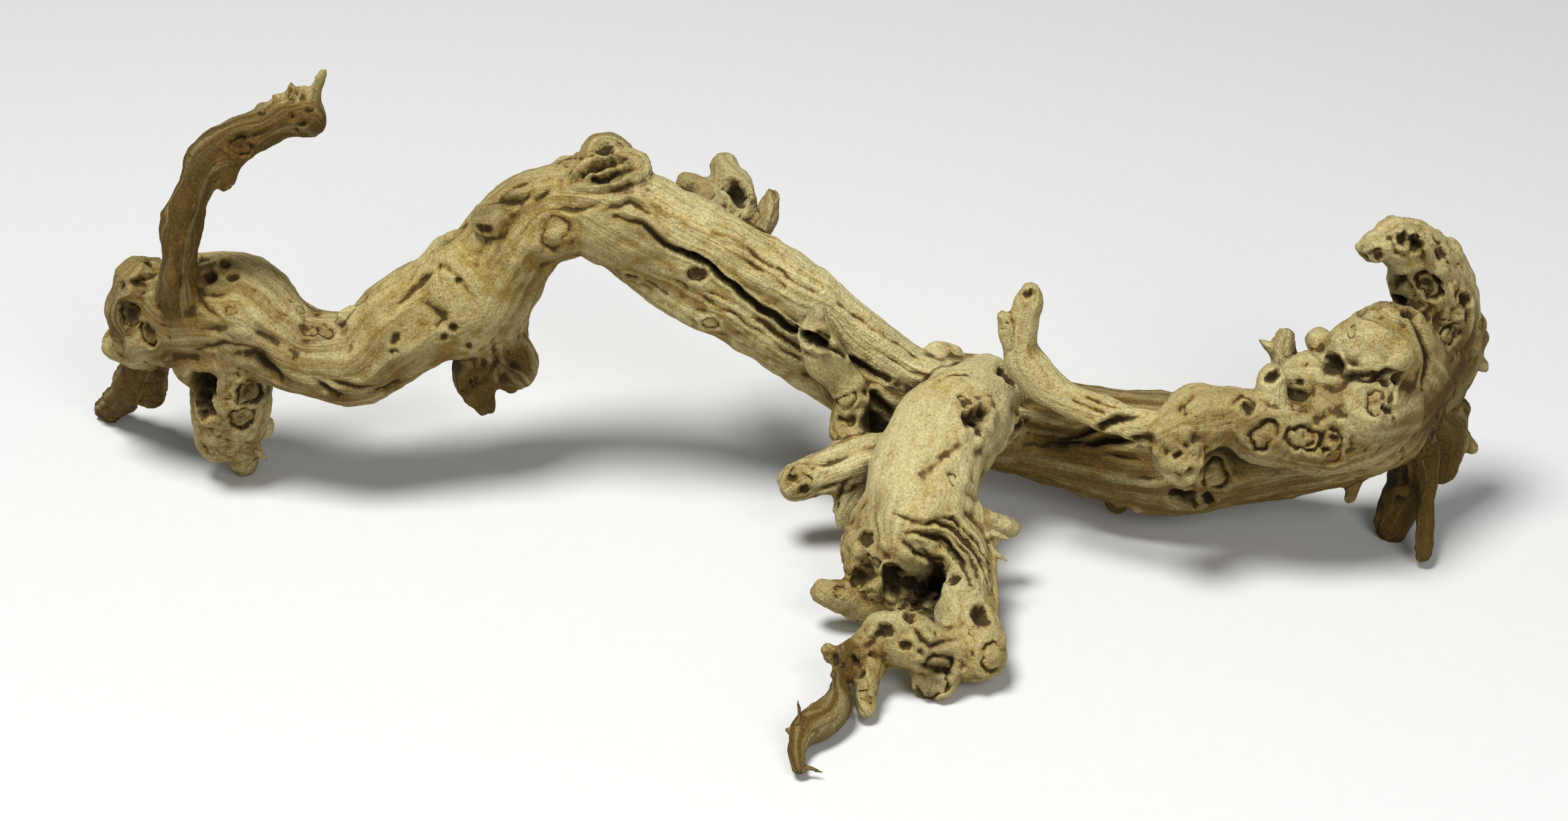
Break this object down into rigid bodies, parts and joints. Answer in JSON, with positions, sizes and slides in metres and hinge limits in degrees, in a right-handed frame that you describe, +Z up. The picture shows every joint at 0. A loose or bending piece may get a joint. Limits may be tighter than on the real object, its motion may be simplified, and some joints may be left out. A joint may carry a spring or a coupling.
{
  "type": "sandblasted grapevine",
  "caption": "Gnarled weathered vine wood with an arched trunk, knobbly limbs, stubs and pruned canes, lying on its low feet.",
  "frame": {"origin": "on the surface that the wood lies on, under the middle of its box", "axes": "+X along the trunk from the arched end to the head with the curled limb, -Y towards the front limb, +Z up"},
  "size_m": [0.9219, 0.4251, 0.2996],
  "materials": {
    "blasted_wood": "matt, sandblasted, open grain"
  },
  "bodies": {
    "root": {"grapevine": "blasted_wood"}
  },
  "joints": []
}
